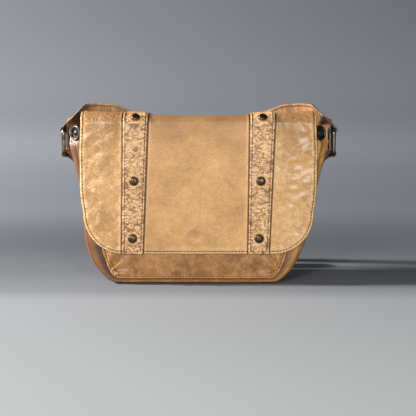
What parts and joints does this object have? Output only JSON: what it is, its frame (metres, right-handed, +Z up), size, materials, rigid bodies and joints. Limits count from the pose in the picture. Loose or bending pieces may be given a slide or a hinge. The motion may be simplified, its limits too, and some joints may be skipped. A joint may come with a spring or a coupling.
{
  "type": "crossbody bag",
  "caption": "Soft leather crossbody bag with side gussets, a full flap with two riveted trim straps, side rings and a buckled shoulder strap folded behind it.",
  "frame": {"origin": "centre of the base's underside, where the bag stands", "axes": "+X to the right across the bag's width, -Y out of the front, +Z up"},
  "size_m": [0.298, 0.1492, 0.1882],
  "materials": {
    "leather_flap": "pull-up leather, waxed, satin",
    "leather_body": "pull-up leather, satin",
    "leather_base": "pull-up leather, satin",
    "leather_trim": "pebbled leather, dark inked edges",
    "leather_strap": "doubled leather, stitched",
    "suede": "flesh side, matt",
    "lining_cloth": "cotton twill",
    "board": "bonded leather board",
    "antique_brass": "darkened, domed",
    "antique_silver": "antiqued nickel"
  },
  "bodies": {
    "bag": {"base_panel": "leather_base", "gusset_left": "leather_body", "gusset_right": "leather_body", "back_panel": "leather_body", "front_panel": "leather_body", "lining_left": "lining_cloth", "lining_right": "lining_cloth", "lining_base": "lining_cloth", "lining_back": "lining_cloth", "lining_front": "lining_cloth", "facing_back": "leather_body", "facing_front": "leather_body", "slip_pocket": "lining_cloth", "base_board": "board", "flap_yoke": "leather_flap", "snap_sockets": "antique_silver", "snap_backs": "antique_silver", "gusset_snap_studs": "antique_silver", "gusset_snap_sockets": "antique_silver", "side_tab_left": "leather_trim", "side_tab_right": "leather_trim", "tab_rivets": "antique_brass", "strap_end_left": "leather_strap", "strap_end_right": "leather_strap", "strap_long": "leather_strap", "strap_short": "leather_strap", "strap_tongue": "leather_strap", "strap_buckle_fold": "leather_strap", "buckle_frame": "antique_silver", "strap_keeper_fixed": "leather_strap"},
    "flap": {"flap_hinge_welt": "leather_flap", "flap_panel": "leather_flap", "flap_lining": "suede", "trim_strap_left": "leather_trim", "trim_strap_right": "leather_trim", "flap_rivets": "antique_brass", "flap_rivet_backs": "antique_brass", "snap_studs": "antique_silver"},
    "left_ring": {"ring_left": "antique_silver", "strap_loop_left": "leather_strap"},
    "right_ring": {"ring_right": "antique_silver", "strap_loop_right": "leather_strap"},
    "prong": {"buckle_prong": "antique_silver"},
    "keeper": {"strap_keeper": "leather_strap"}
  },
  "joints": [
    {"name": "flap_hinge", "type": "hinge", "parent": "bag", "child": "flap", "pos_m": [0, 0.03321, 0.17282], "axis": [-1, 0, 0], "range_deg": [0, 95]},
    {"name": "left_ring_pivot", "type": "hinge", "parent": "bag", "child": "left_ring", "pos_m": [-0.14427, 0.0064, 0.136], "axis": [0, -1, 0], "range_deg": [-6, 30], "deforming": ["strap_end_left"]},
    {"name": "right_ring_pivot", "type": "hinge", "parent": "bag", "child": "right_ring", "pos_m": [0.14427, 0.0064, 0.136], "axis": [0, 1, 0], "range_deg": [-6, 30], "deforming": ["strap_end_right"]},
    {"name": "prong_pivot", "type": "hinge", "parent": "bag", "child": "prong", "pos_m": [-0.06554, 0.09444, 0.0179], "axis": [0, 0, -1], "range_deg": [0, 12]},
    {"name": "keeper_slide", "type": "slide", "parent": "bag", "child": "keeper", "axis": [1, 0, 0], "range_m": [0, 0.008]}
  ]
}
